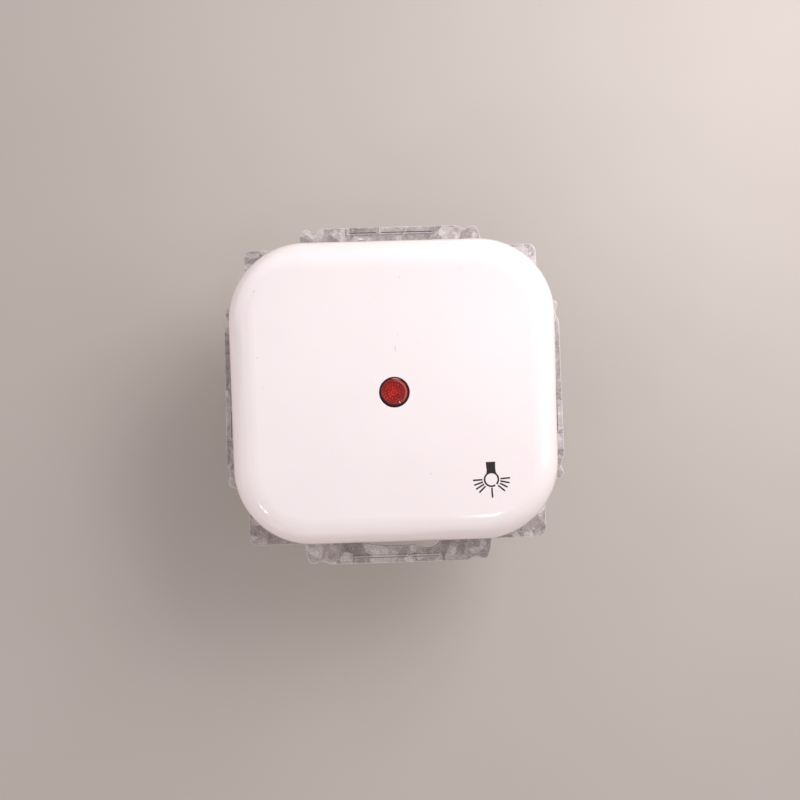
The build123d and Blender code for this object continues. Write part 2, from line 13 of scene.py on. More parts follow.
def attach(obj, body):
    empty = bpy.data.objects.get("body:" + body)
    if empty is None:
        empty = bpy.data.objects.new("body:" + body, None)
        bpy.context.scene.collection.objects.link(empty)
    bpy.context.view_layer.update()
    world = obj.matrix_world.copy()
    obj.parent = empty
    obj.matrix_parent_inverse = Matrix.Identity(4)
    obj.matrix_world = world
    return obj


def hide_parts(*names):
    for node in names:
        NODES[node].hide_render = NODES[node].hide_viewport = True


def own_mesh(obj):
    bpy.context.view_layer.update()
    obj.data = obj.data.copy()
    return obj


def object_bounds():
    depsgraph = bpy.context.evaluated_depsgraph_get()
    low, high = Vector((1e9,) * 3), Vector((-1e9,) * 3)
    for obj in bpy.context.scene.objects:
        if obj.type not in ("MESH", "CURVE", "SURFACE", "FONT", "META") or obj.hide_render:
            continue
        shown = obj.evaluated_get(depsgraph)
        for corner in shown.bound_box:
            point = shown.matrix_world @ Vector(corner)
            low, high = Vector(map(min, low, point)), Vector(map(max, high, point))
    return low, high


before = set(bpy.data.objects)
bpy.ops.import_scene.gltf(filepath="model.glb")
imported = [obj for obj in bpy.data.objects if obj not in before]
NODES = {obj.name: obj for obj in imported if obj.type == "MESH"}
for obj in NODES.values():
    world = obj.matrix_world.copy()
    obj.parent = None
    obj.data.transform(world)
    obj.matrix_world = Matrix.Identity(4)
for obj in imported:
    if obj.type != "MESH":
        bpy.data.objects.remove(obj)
CAD_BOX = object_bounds()

MM = 0.001
TILT = math.radians(4.0)      # rest tilt of the rocker about its pivot axis
PIVOT_Z = 5.6
FACE_Z = 13.0                 # top of the level rocker plate
ROCKER_AXIS = (0.0, -math.sin(TILT), math.cos(TILT))     # square to the tilted face
SIDES = (("left", -1), ("right", 1))

# small marks on the face: x, y, half width, half length, strength
MARKS = [
    (-26.5, 19.6, 0.13, 0.20, 0.55), (-26.2, 6.85, 0.12, 0.16, 0.5),
    (-25.2, 1.15, 0.11, 0.13, 0.5), (0.4, 7.9, 0.09, 0.75, 0.5),
    (6.6, -16.5, 0.17, 0.12, 0.6), (0.9, 10.4, 0.07, 0.4, 0.3),
    (17.0, 15.0, 0.10, 0.10, 0.3), (-12.2, -11.5, 0.10, 0.09, 0.35),
]


# ------------------------------------------------------------------ colours and nodes
def rgb(*channels):
    """An sRGB colour, 0 to 255, as linear RGBA."""
    shares = [c / 255.0 for c in channels]
    return (*(c / 12.92 if c <= 0.04045 else ((c + 0.055) / 1.055) ** 2.4 for c in shares), 1.0)


def tint(colour, gain, lift=0.0):
    return (*(min(1.0, c * gain + lift) for c in colour[:3]), 1.0)


class Material:
    """A node material around one Principled shader. Lengths here are in metres."""

    def __init__(self, name):
        self.material = bpy.data.materials.new(name)
        self.material.use_nodes = True
        self.tree = self.material.node_tree
        self.tree.nodes.clear()
        self.out = self.new("OutputMaterial")
        self.shader = self.new("BsdfPrincipled")
        self.put(self.out.inputs["Surface"], self.shader.outputs["BSDF"])
        coordinates = self.new("TexCoord")
        self.place = coordinates.outputs["Object"]
        self.normal = coordinates.outputs["Normal"]

    def put(self, socket, value):
        """Link a socket to the input, or set the input to a plain value."""
        if isinstance(value, bpy.types.NodeSocket):
            self.tree.links.new(value, socket)
        else:
            socket.default_value = value

    def new(self, kind, inputs=(), **properties):
        node = self.tree.nodes.new("ShaderNode" + kind)
        for name, value in properties.items():
            setattr(node, name, value)
        for key, value in dict(inputs).items():
            if value is not None:
                self.put(node.inputs[key], value)
        return node

    def set(self, **inputs):
        for name, value in inputs.items():
            self.put(self.shader.inputs[name.replace("_", " ")], value)

    # --- textures
    def noise(self, scale, detail=4.0, rough=0.55, distortion=0.0, at=None):
        inputs = {"Scale": scale, "Detail": detail, "Roughness": rough,
                  "Distortion": distortion, "Vector": at or self.place}
        return self.new("TexNoise", inputs).outputs["Fac"]

    def patches(self, scale, span, to=(0.0, 1.0), **noise):
        """Noise fitted to a range."""
        return self.fit(self.noise(scale, **noise), span, to)

    def stretched(self, scales, turn=(0, 0, 0), at=None):
        inputs = {"Scale": scales, "Rotation": turn, "Vector": at or self.place}
        return self.new("Mapping", inputs).outputs["Vector"]

    def streaks(self, scales, turn=(0, 0, 0), **noise):
        """Noise with its own scale along each axis."""
        return self.noise(1.0, at=self.stretched(scales, turn), **noise)

    def voronoi(self, scale, output="Color", at=None):
        inputs = {"Scale": scale, "Vector": at or self.place}
        return self.new("TexVoronoi", inputs).outputs[output]

    # --- colour
    def ramp(self, factor, stops, interpolation="LINEAR"):
        node = self.new("ValToRGB", {"Fac": factor})
        node.color_ramp.interpolation = interpolation
        elements = node.color_ramp.elements
        while len(elements) < len(stops):
            elements.new(0.5)
        for element, (position, colour) in zip(elements, stops):
            element.position = position
            element.color = colour
        return node.outputs["Color"]

    def mix(self, factor, first, second):
        return self.new("Mix", {0: factor, 6: first, 7: second}, data_type="RGBA").outputs[2]

    def layer(self, base, *layers):
        """Lay (mask, colour) pairs over the base, one after another."""
        for mask, colour in layers:
            base = self.mix(mask, base, colour)
        return base

    # --- arithmetic; more than two values are taken from left to right
    def math(self, operation, value, *others):
        for other in others or (0.0,):
            value = self.new("Math", {0: value, 1: other}, operation=operation).outputs[0]
        return value

    def add(self, *values):
        return self.math("ADD", *values)

    def subtract(self, *values):
        return self.math("SUBTRACT", *values)

    def times(self, *values):
        return self.math("MULTIPLY", *values)

    def fit(self, value, span, to=(0.0, 1.0)):
        """Map the span onto another range, held at both ends."""
        return self.new("MapRange", dict(enumerate((value, *span, *to)))).outputs[0]

    def fit_mm(self, value, span, to=(0.0, 1.0)):
        return self.fit(value, (span[0] * MM, span[1] * MM), to)

    def vector(self, operation, first, second=None, scale=None):
        inputs = {0: first, 1: second, "Scale": scale}
        node = self.new("VectorMath", inputs, operation=operation)
        scalar = operation in ("DOT_PRODUCT", "LENGTH")
        return node.outputs["Value" if scalar else "Vector"]

    def split(self, vector):
        return self.new("SeparateXYZ", {0: vector}).outputs

    # --- surface
    def bump(self, height, depth, strength, normal=None):
        inputs = {"Strength": strength, "Distance": depth, "Height": height, "Normal": normal}
        return self.new("Bump", inputs).outputs["Normal"]

    def bevel(self, radius):
        return self.new("Bevel", {"Radius": radius}, samples=4).outputs["Normal"]

    def geometry(self, output):
        return self.new("NewGeometry").outputs[output]

    def edge(self, radius):
        """0 on open faces, towards 1 along edges."""
        facing = self.geometry("Normal")
        return self.fit(self.vector("DOT_PRODUCT", self.bevel(radius), facing), (0.995, 0.75))

    def occlusion(self, distance):
        return self.new("AmbientOcclusion", {"Distance": distance}, samples=4).outputs["AO"]


# ------------------------------------------------------------------ materials
def face_marks(mat, mask):
    """Add the marks on the face to a mask."""
    for x, y, half_width, half_length, strength in MARKS:
        offset = mat.vector("SUBTRACT", mat.place, (x * MM, y * MM, FACE_Z * MM))
        shrink = (1.0 / (half_width * MM), 1.0 / (half_length * MM), 0.0)
        distance = mat.vector("LENGTH", mat.vector("MULTIPLY", offset, shrink))
        mark = mat.fit(distance, (1.0, 0.45), to=(0.0, strength))
        mask = mat.math("MAXIMUM", mask, mark)
    return mask


def gloss_cap():
    mat = Material("cap_gloss_plastic")
    cloud = mat.patches(28, (0.35, 0.65), detail=3)
    base = mat.mix(cloud, rgb(250, 241, 242), rgb(247, 237, 238))
    # warmer and darker on the sloping edge band: painted shade
    slope_shade = mat.fit(mat.split(mat.normal)[2], (0.97, 0.15), to=(0.0, 0.75))
    specks = mat.times(mat.fit(mat.voronoi(420, "Distance"), (0.055, 0.03)),
                       mat.patches(60, (0.56, 0.62), to=(0, 0.45), detail=2))
    base = mat.layer(base, (slope_shade, rgb(240, 226, 221)),
                     (face_marks(mat, specks), rgb(150, 128, 126)))
    # hairline scratches in two directions
    hair = mat.add(
        mat.fit(mat.streaks((2400, 60, 200), turn=(0, 0, 0.5), detail=2), (0.66, 0.78)),
        mat.fit(mat.streaks((70, 2100, 200), turn=(0, 0, -0.3), detail=2), (0.67, 0.8)))
    smudge = mat.patches(55, (0.4, 0.75), to=(0.0, 0.06), rough=0.6, distortion=0.5)
    waves = mat.add(mat.times(mat.noise(900, detail=3), 1.0),
                    mat.times(mat.noise(120, detail=2), 2.5))
    height = mat.subtract(waves, mat.times(hair, 0.5))
    mat.set(Base_Color=base, IOR=1.5, Specular_IOR_Level=0.5,
            Subsurface_Weight=0.06, Subsurface_Radius=(0.0010, 0.0007, 0.0005),
            Subsurface_Scale=1.0,
            Roughness=mat.add(0.10, smudge, mat.times(hair, 0.05)),
            Coat_Weight=0.5, Coat_Roughness=0.05,
            Normal=mat.bump(height, depth=3e-6, strength=0.5, normal=mat.bevel(0.0002)))
    return mat.material


def moulded(name, colour, second, rough, grain=1400, grain_depth=9e-6):
    mat = Material(name)
    base = mat.mix(mat.patches(45, (0.35, 0.68), rough=0.6), colour, second)
    flow = mat.fit(mat.streaks((35, 260, 35), turn=(0.1, 0, 0.25), detail=3),
                   (0.52, 0.75), to=(0, 0.35))
    # darker where ambient occlusion finds recesses: painted shade in the crevices
    crevice_shade = mat.fit(mat.occlusion(0.0012), (0.75, 0.25), to=(0.0, 0.4))
    # lighter along the edges in patches: painted edge highlight
    wear_and_edge_light = mat.times(mat.edge(0.0003), mat.patches(500, (0.45, 0.7), to=(0, 0.5)))
    base = mat.layer(base, (flow, second), (crevice_shade, tint(second, gain=0.45)),
                     (wear_and_edge_light, tint(colour, gain=1.15, lift=0.03)))
    height = mat.noise(grain, detail=5, rough=0.65)
    mat.set(Base_Color=base, Subsurface_Weight=0.05,
            Subsurface_Radius=(0.0010, 0.0008, 0.0006), Subsurface_Scale=1.0,
            Roughness=mat.add(rough, mat.patches(300, (0.3, 0.7), to=(-0.07, 0.09))),
            Normal=mat.bump(height, grain_depth, strength=0.8, normal=mat.bevel(0.00018)))
    return mat.material


def scribed_lines(mat):
    """Mask of the lines beside the sheared strips of each tab."""
    def stripe(value, centre, span):
        distance = mat.math("ABSOLUTE", mat.subtract(value, centre * MM))
        return mat.fit_mm(distance, span)

    x, y, _ = mat.split(mat.place)
    sizes = mat.math("ABSOLUTE", x), mat.math("ABSOLUTE", y)
    far, near = mat.math("MAXIMUM", *sizes), mat.math("MINIMUM", *sizes)
    line = mat.times(stripe(far, centre=33.72, span=(0.11, 0.05)),
                     mat.fit_mm(near, (9.3, 9.0), to=(0, 0.5)))
    tick = mat.times(stripe(near, centre=9.35, span=(0.10, 0.05)),
                     mat.fit_mm(far, (33.6, 33.7), to=(0, 0.55)))
    return mat.math("MAXIMUM", line, tick)


def galvanised():
    mat = Material("galvanised_spangle")
    # crystal cells of two sizes, with ragged borders, drawn out along Z
    warp = mat.new("TexNoise", {"Scale": 420, "Detail": 3, "Vector": mat.place}).outputs["Color"]
    offset = mat.vector("SCALE", mat.vector("SUBTRACT", warp, (0.5, 0.5, 0.5)), scale=0.0012)
    ragged = mat.stretched((1, 1, 0.25), at=mat.vector("ADD", mat.place, offset))
    large = mat.split(mat.voronoi(300, at=ragged))[0]
    small = mat.split(mat.voronoi(760, at=ragged))[1]
    mottle = mat.noise(760, detail=8, rough=0.74, distortion=0.9)
    cloud = mat.patches(130, (0.3, 0.7), to=(0.1, 0.9), rough=0.6, distortion=0.8)
    tone = mat.add(mat.times(large, 0.34), mat.times(small, 0.26),
                   mat.times(mat.fit(mottle, (0.25, 0.75)), 0.50), mat.times(cloud, 0.30))
    colour = mat.ramp(mat.fit(tone, (0.28, 1.12)), [
        (0.0, rgb(142, 130, 128)), (0.28, rgb(162, 150, 149)), (0.50, rgb(182, 171, 170)),
        (0.74, rgb(201, 191, 191)), (1.0, rgb(236, 229, 230))])

    # single cells picked out lighter or darker
    crisp = mat.add(0.6, mat.times(mottle, 0.5))
    for cells, span, strength, shade in (
            (large, (0.80, 0.82), 0.34, rgb(228, 220, 218)),
            (small, (0.20, 0.18), 0.28, rgb(146, 133, 129)),
            (small, (0.84, 0.86), 0.34, rgb(236, 230, 229))):
        picked = mat.times(mat.fit(cells, span, to=(0, strength)), crisp)
        colour = mat.mix(picked, colour, shade)

    stain = mat.patches(210, (0.60, 0.72), to=(0, 0.32), detail=6, rough=0.68, distortion=1.6)
    bloom = mat.patches(820, (0.60, 0.67), to=(0, 0.6), detail=6, rough=0.75, distortion=0.4)
    pits = mat.patches(1700, (0.63, 0.72), to=(0, 0.45), rough=0.7)
    grain = mat.noise(2900, detail=3, rough=0.7)
    scratches = mat.fit(mat.streaks((120, 3600, 400), turn=(0, 0, 0.6), detail=3),
                        (0.66, 0.74), to=(0, 0.6))
    scribe = scribed_lines(mat)
    colour = mat.layer(
        colour,
        (stain, rgb(140, 126, 120)),
        (bloom, rgb(240, 233, 235)),
        (pits, rgb(112, 104, 106)),
        (mat.fit(grain, (0.55, 0.70), to=(0.0, 0.55)), rgb(236, 231, 232)),
        (mat.fit(grain, (0.45, 0.32), to=(0.0, 0.40)), rgb(112, 102, 102)),
        (scratches, rgb(212, 206, 211)),
        (scribe, rgb(104, 94, 96)),
        # lighter along every edge: painted edge highlight
        (mat.times(mat.edge(0.00034), 0.95), rgb(246, 241, 244)))
    dull = mat.math("MAXIMUM", stain, bloom)
    height = mat.subtract(mat.add(mat.times(mottle, 1.0), mat.times(large, 0.35)),
                          mat.times(scratches, 0.25), mat.times(scribe, 0.8))
    mat.set(Base_Color=colour, Metallic=mat.fit(dull, (0, 0.7), to=(0.40, 0.15)),
            Roughness=mat.add(mat.fit(large, (0, 1), to=(0.34, 0.50)),
                              mat.fit(mottle, (0.3, 0.7), to=(-0.05, 0.16))),
            Normal=mat.bump(height, depth=2.2e-5, strength=0.65, normal=mat.bevel(0.00013)))
    return mat.material


def metal(name, colour, second, rough, streak, tarnish=None, amount=0.3, depth=4e-6):
    """Streaked metal; amount is the strength of the tarnish spots."""
    mat = Material(name)
    lines = mat.streaks(streak, rough=0.6)
    base = mat.mix(mat.fit(lines, (0.3, 0.7)), colour, second)
    spots = mat.patches(330, (0.52, 0.72), to=(0, amount), detail=6, rough=0.65, distortion=0.8)
    base = mat.layer(base, (spots, tarnish or tint(second, gain=0.45)),
                     # lighter along the edges: painted edge highlight
                     (mat.times(mat.edge(0.00018), 0.55), tint(colour, gain=1.25, lift=0.05)))
    mat.set(Base_Color=base, Metallic=1.0,
            Roughness=mat.add(rough, mat.fit(lines, (0.3, 0.7), to=(-0.06, 0.1)),
                              mat.times(spots, 0.5)),
            Normal=mat.bump(lines, depth, strength=0.6, normal=mat.bevel(0.0001)))
    return mat.material


def about_lens(mat):
    """Offset from the lens centre on the face, and distance from the lens axis."""
    rise = (FACE_Z - PIVOT_Z) * MM
    centre = (0, -rise * math.sin(TILT), PIVOT_Z * MM + rise * math.cos(TILT))
    offset = mat.vector("SUBTRACT", mat.place, centre)
    return offset, mat.vector("LENGTH", mat.vector("CROSS_PRODUCT", offset, ROCKER_AXIS))


def along(mat, offset, degrees):
    """How far the offset reaches in a direction in XY, counted from +X towards +Y."""
    angle = math.radians(degrees)
    return mat.vector("DOT_PRODUCT", offset, (math.cos(angle), math.sin(angle), 0.0))


def lens_shell():
    mat = Material("lens_clear_red")
    offset, radius = about_lens(mat)
    # dark ring round the rim: painted shade
    rim = mat.fit_mm(radius, (2.36, 2.58))
    # the inside edge catches light along its right half
    glow_strength = 0.36
    glow = mat.times(mat.fit_mm(radius, (2.02, 2.30)), mat.fit_mm(radius, (2.66, 2.54)),
                     mat.fit_mm(along(mat, offset, 18), (0.3, 1.9), to=(0.0, glow_strength)))
    # dark lower edge: painted shadow
    under = mat.times(mat.fit_mm(radius, (2.05, 2.30)),
                      mat.fit_mm(along(mat, offset, 250), (0.5, 1.9), to=(0.0, 0.85)))
    # thin bright line at the top of the rim
    glint = mat.times(mat.fit_mm(along(mat, offset, 80), (2.50, 2.62), to=(0.0, 0.85)),
                      mat.fit_mm(radius, (2.76, 2.70)))
    streaks = mat.patches(700, (0.4, 0.7), to=(0.0, 0.2), rough=0.6)
    base = mat.layer(mat.mix(streaks, rgb(250, 132, 126), rgb(240, 146, 140)),
                     (rim, rgb(70, 16, 24)), (glow, rgb(78, 34, 31)),
                     (under, rgb(52, 2, 6)), (glint, rgb(196, 178, 178)))
    clear = mat.times(mat.fit(rim, (0, 1), to=(0.97, 0.2)),
                      mat.fit(glow, (0, glow_strength), to=(1.0, 0.45)),
                      mat.fit(under, (0, 1), to=(1.0, 0.4)))
    mat.set(Base_Color=base, Roughness=mat.patches(400, (0.3, 0.7), to=(0.02, 0.07)),
            IOR=1.40, Transmission_Weight=clear,
            Normal=mat.bump(mat.noise(500, detail=3), depth=0.6e-6, strength=0.4))
    return mat.material


def lens_prism():
    mat = Material("lens_prism_red")
    offset, radius = about_lens(mat)
    rise = mat.fit_mm(mat.vector("DOT_PRODUCT", offset, ROCKER_AXIS), (-1.76, -1.52))
    cells = mat.split(mat.voronoi(1500))
    facing = mat.split(mat.geometry("Normal"))
    # lighter on facets towards -X and -Y, and towards the tips: painted light on the facets
    side = mat.subtract(mat.times(facing[0], -0.6), mat.times(facing[1], 0.5))
    tone = mat.add(mat.times(cells[0], 0.26), mat.fit(side, (-0.45, 0.45), to=(0.0, 0.40)),
                   mat.times(mat.math("POWER", rise, 1.4), 0.46))
    base = mat.ramp(tone, [
        (0.20, rgb(112, 0, 2)), (0.42, rgb(150, 10, 12)), (0.60, rgb(192, 44, 40)),
        (0.74, rgb(240, 110, 98)), (0.90, rgb(255, 190, 176))])
    warm = mat.patches(330, (0.5, 0.68), to=(0, 0.35), detail=3)
    middle = mat.fit_mm(radius, (0.85, 0.2), to=(0.0, 0.6))
    right_side = mat.fit_mm(mat.split(offset)[0], (0.6, 2.1), to=(0.0, 0.55))
    # darker at the rim and darkest along the lower edge: painted shade
    rim = mat.fit_mm(radius, (2.05, 2.28), to=(0.0, 0.9))
    low = mat.fit_mm(along(mat, offset, 258), (1.75, 2.3), to=(0.0, 0.9))
    base = mat.layer(base, (warm, rgb(172, 62, 18)), (middle, rgb(180, 40, 54)),
                     (right_side, rgb(158, 78, 72)), (rim, rgb(112, 18, 22)),
                     (low, rgb(66, 0, 3)))
    mat.set(Base_Color=base, Roughness=mat.fit(cells[1], (0, 1), to=(0.16, 0.38)),
            Metallic=0.15, Subsurface_Weight=0.0, Coat_Weight=0.1, Coat_Roughness=0.15,
            # the emission is painted light: the prisms glow though the lamp is not lit
            Emission_Color=base, Emission_Strength=0.22,
            Normal=mat.bump(mat.noise(2200, detail=2), depth=0.8e-5, strength=0.4))
    return mat.material


def glass_tube():
    mat = Material("lamp_glass_clear")
    haze = mat.patches(260, (0.45, 0.75))
    mat.set(Base_Color=mat.mix(haze, rgb(244, 240, 236), rgb(206, 196, 186)),
            Roughness=mat.fit(haze, (0, 1), to=(0.03, 0.22)),
            Transmission_Weight=0.92, IOR=1.47,
            Normal=mat.bump(mat.noise(320, detail=3), depth=1e-5, strength=0.4))
    return mat.material


def ink():
    mat = Material("print_ink_black")
    wear_and_edge_light = mat.patches(2300, (0.58, 0.74), to=(0, 0.6), detail=5, rough=0.7)
    mat.set(Base_Color=mat.mix(wear_and_edge_light, rgb(40, 29, 35), rgb(88, 76, 80)),
            Roughness=mat.patches(900, (0.3, 0.7), to=(0.32, 0.55)),
            Normal=mat.bump(mat.noise(2600), depth=5e-6, strength=0.8))
    return mat.material


def resistor_lacquer():
    mat = Material("resistor_lacquer")
    offset = mat.vector("SUBTRACT", mat.place, (0.8 * MM, 0, -2.2 * MM))
    lengthwise = tuple(Vector((3.1, -4.2, -4.2)).normalized())
    body = rgb(206, 176, 130)
    stops = [(0.0, body)]
    for start, band in ((0.20, rgb(120, 66, 34)), (0.44, rgb(40, 38, 36)),
                        (0.68, rgb(196, 150, 60))):
        stops += [(start, body), (start + 0.02, band), (start + 0.10, band),
                  (start + 0.12, body)]
    place = mat.fit_mm(mat.vector("DOT_PRODUCT", offset, lengthwise), (1.6, 5.6))
    bands = mat.ramp(place, stops, "CONSTANT")
    grime = mat.patches(800, (0.4, 0.7), to=(0, 0.2))
    mat.set(Base_Color=mat.mix(grime, bands, rgb(120, 100, 76)), Roughness=0.3,
            Coat_Weight=0.5,
            Normal=mat.bump(mat.noise(900, detail=3), depth=1e-5, strength=0.6))
    return mat.material


MATERIALS = {
    "cap": gloss_cap(),
    "galvanised": galvanised(),
    "carrier": moulded("carrier_moulded", rgb(228, 226, 220), rgb(216, 212, 204), rough=0.42),
    "cover": moulded("cover_moulded", rgb(214, 212, 207), rgb(200, 198, 192), rough=0.5),
    "base": moulded("base_moulded", rgb(222, 217, 206), rgb(206, 200, 188), rough=0.55,
                    grain=1100, grain_depth=1.6e-5),
    "lamp_holder": moulded("lamp_holder_moulded", rgb(232, 230, 224), rgb(220, 216, 208),
                           rough=0.4),
    "plunger": moulded("plunger_moulded", rgb(236, 234, 230), rgb(224, 220, 214), rough=0.34,
                       grain=1800, grain_depth=4e-6),
    "button": moulded("button_moulded", rgb(206, 92, 34), rgb(186, 78, 28), rough=0.42,
                      grain=1600, grain_depth=6e-6),
    "screw": metal("zinc_plated", rgb(206, 204, 196), rgb(176, 174, 168), rough=0.26,
                   streak=(900, 900, 900), tarnish=rgb(140, 128, 100), amount=0.35),
    "steel": metal("drawn_steel", rgb(190, 190, 192), rgb(160, 160, 163), rough=0.24,
                   streak=(70, 70, 1800)),
    "claw": metal("claw_zinc", rgb(196, 194, 190), rgb(160, 157, 152), rough=0.34,
                  streak=(300, 1500, 300), tarnish=rgb(120, 108, 90), amount=0.4, depth=9e-6),
    "silver": metal("silver_face", rgb(226, 222, 214), rgb(196, 192, 184), rough=0.25,
                    streak=(1200, 1200, 1200), tarnish=rgb(92, 78, 66), amount=0.55),
    "brass": metal("brass_strip", rgb(214, 178, 104), rgb(186, 148, 78), rough=0.27,
                   streak=(120, 2400, 300), tarnish=rgb(118, 82, 40), amount=0.35),
    "spring": metal("spring_steel", rgb(196, 196, 198), rgb(156, 156, 160), rough=0.22,
                    streak=(2000, 300, 2000)),
    "lead": metal("tinned_wire", rgb(206, 200, 192), rgb(180, 172, 162), rough=0.35,
                  streak=(600, 600, 600), tarnish=rgb(176, 120, 86), amount=0.4),
    "electrode": metal("electrode_nickel", rgb(150, 146, 140), rgb(120, 116, 110), rough=0.42,
                       streak=(600, 600, 600)),
    "glass": glass_tube(),
    "resistor": resistor_lacquer(),
    "lens": lens_shell(),
    "prism": lens_prism(),
    "ink": ink(),
}

# CAD piece: material
LOOK = {
    "rocker_plate": "cap", "indicator_lens": "lens", "rocker_carrier": "carrier",
    "mounting_frame": "galvanised", "front_cover": "cover", "switch_base": "base",
    "assembly_screws": "screw", "claw_pins": "steel", "fixed_contacts": "silver",
    "lamp_holder": "lamp_holder", "glow_lamp": "glass", "lamp_leads": "lead",
    "lamp_electrodes": "electrode", "lamp_resistor": "resistor",
}
# pieces that come once on each side
PAIRED_LOOK = {
    "plunger": "plunger", "plunger_spring": "spring", "contact_lever": "brass",
    "moving_contact": "silver", "common_terminal": "brass", "switched_terminal": "brass",
    "claw": "claw", "claw_nut": "steel", "claw_screw": "screw",
    "clamp_spring_upper": "spring", "release_button_upper": "button",
    "clamp_spring_lower": "spring", "release_button_lower": "button",
}
for side, _ in SIDES:
    LOOK.update({f"{piece}_{side}": look for piece, look in PAIRED_LOOK.items()})
NODES["indicator_lens"].visible_shadow = False     # lets light through to the prisms
for name, node in NODES.items():
    node.data.materials.clear()
    node.data.materials.append(MATERIALS[LOOK[name]])


# ------------------------------------------------------------------ mesh helpers
def mesh_object(name, bm, material, smooth_angle=None):
    bmesh.ops.recalc_face_normals(bm, faces=bm.faces)
    mesh = bpy.data.meshes.new(name)
    bm.to_mesh(mesh)
    bm.free()
    piece = bpy.data.objects.new(name, mesh)
    bpy.context.scene.collection.objects.link(piece)
    mesh.materials.append(material)
    if smooth_angle is not None:
        mesh.shade_smooth()
        mesh.set_sharp_from_angle(angle=smooth_angle)
    return piece


def on_rocker(x, y, z):
    """A point of the level rocker, in mm, to its rest place in metres."""
    rise = z - PIVOT_Z
    return Vector((x, y * math.cos(TILT) - rise * math.sin(TILT),
                   PIVOT_Z + y * math.sin(TILT) + rise * math.cos(TILT))) * MM


def circle(radius, count):
    angles = [2 * math.pi * k / count for k in range(count)]
    return [(radius * math.cos(angle), radius * math.sin(angle)) for angle in angles]


def plate(bm, outline, bottom, top):
    """Closed flat plate from a 2-D outline in level rocker coordinates."""
    low = [bm.verts.new(on_rocker(x, y, bottom)) for x, y in outline]
    high = [bm.verts.new(on_rocker(x, y, top)) for x, y in outline]
    bm.faces.new(high)
    bm.faces.new(low[::-1])
    for i in range(len(outline)):
        j = (i + 1) % len(outline)
        bm.faces.new((low[i], low[j], high[j], high[i]))


def loft(bm, rings):
    """Closed skin over rings of vertices, capped at both ends."""
    count = len(rings[0])
    for a, b in zip(rings, rings[1:]):
        for k in range(count):
            bm.faces.new((a[k], a[(k + 1) % count], b[(k + 1) % count], b[k]))
    bm.faces.new(rings[0][::-1])
    bm.faces.new(rings[-1])


# ------------------------------------------------------------------ printed lamp symbol
SYMBOL_X, SYMBOL_Y = 18.4, -17.5
PRINT_BOTTOM, PRINT_TOP = FACE_Z - 0.004, FACE_Z + 0.014
SOCKET_LIFT = 0.0015          # the socket lies this much above the rest of the print
BULB_OUTER, BULB_INNER = 1.51, 1.18
BULB_START, BULB_END = -math.radians(44), math.radians(302)
BULB_STEPS = 72

# socket sides, x and y from the symbol centre: left going down, right going up
SOCKET_LEFT = [(-1.03, 3.40), (-0.98, 2.5), (-0.90, 1.9), (-0.93, 1.45), (-1.02, 1.16)]
SOCKET_RIGHT = [(0.98, 1.12), (0.86, 1.45), (0.80, 1.9), (0.78, 2.5), (0.80, 3.44)]
SOCKET_FOOT_RADIUS = 1.30     # its lower edge follows the bulb

# rays: inner end x, y and outer end x, y from the symbol centre
RAYS = [
    ((1.75, 0.08), (3.64, 0.20)), ((1.71, -0.36), (3.52, -0.76)),
    ((1.63, -0.81), (3.12, -1.61)), ((1.26, -1.21), (2.59, -2.33)),
    ((0.02, -1.65), (0.14, -3.62)), ((-1.76, -0.02), (-3.61, -0.10)),
    ((-1.67, -0.48), (-3.41, -1.05)), ((-1.47, -0.89), (-3.04, -1.85)),
    ((-1.19, -1.29), (-2.44, -2.54)),
]
RAY_HALF_WIDTH = 0.155
# ray corners: end (0 inner, 1 outer), then steps along and across in half widths
RAY_CORNERS = [(0, 0, 0.75), (0, 0.45, 1), (1, -0.45, 1), (1, 0, 0.6),
               (1, 0, -0.6), (1, -0.45, -1), (0, 0.45, -1), (0, 0, -0.75)]


def bulb_ring(bm):
    """Open ring of the bulb, with the gap under the socket."""
    corners = {}

    def corner(point, z):
        if (point, z) not in corners:
            corners[point, z] = bm.verts.new(on_rocker(*point, z))
        return corners[point, z]

    def wall(a, b):
        bm.faces.new((corner(a, PRINT_BOTTOM), corner(b, PRINT_BOTTOM),
                      corner(b, PRINT_TOP), corner(a, PRINT_TOP)))

    def arc(radius):
        sweep = BULB_END - BULB_START
        angles = [BULB_START + sweep * i / BULB_STEPS for i in range(BULB_STEPS + 1)]
        return [(SYMBOL_X + radius * math.cos(a), SYMBOL_Y + radius * math.sin(a))
                for a in angles]

    outer, inner = arc(BULB_OUTER), arc(BULB_INNER)
    for i in range(BULB_STEPS):
        quad = (outer[i], outer[i + 1], inner[i + 1], inner[i])
        bm.faces.new([corner(point, PRINT_TOP) for point in quad])
        bm.faces.new([corner(point, PRINT_BOTTOM) for point in quad][::-1])
    for line in (outer, inner):
        for a, b in zip(line, line[1:]):
            wall(a, b)
    for end in (0, BULB_STEPS):
        wall(outer[end], inner[end])


def lamp_symbol():
    bm = bmesh.new()
    bulb_ring(bm)
    foot = [(SOCKET_FOOT_RADIUS * math.cos(math.radians(a)),
             SOCKET_FOOT_RADIUS * math.sin(math.radians(a))) for a in range(132, 44, -6)]
    socket = [(SYMBOL_X + x, SYMBOL_Y + y) for x, y in SOCKET_LEFT + foot + SOCKET_RIGHT]
    plate(bm, socket[::-1], PRINT_BOTTOM + SOCKET_LIFT, PRINT_TOP + SOCKET_LIFT)
    for ends in RAYS:
        (x0, y0), (x1, y1) = ends
        length = math.hypot(x1 - x0, y1 - y0)
        ux, uy = (x1 - x0) / length, (y1 - y0) / length
        outline = []
        for end, forward, across in RAY_CORNERS:
            x, y = ends[end]
            outline.append((SYMBOL_X + x + RAY_HALF_WIDTH * (forward * ux - across * uy),
                            SYMBOL_Y + y + RAY_HALF_WIDTH * (forward * uy + across * ux)))
        plate(bm, outline, PRINT_BOTTOM, PRINT_TOP)
    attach(mesh_object("lamp_symbol_print", bm, MATERIALS["ink"]), "rocker")


# ------------------------------------------------------------------ prisms under the lens dome
DISC_RADIUS = 2.41
DISC_SEGMENTS = 60
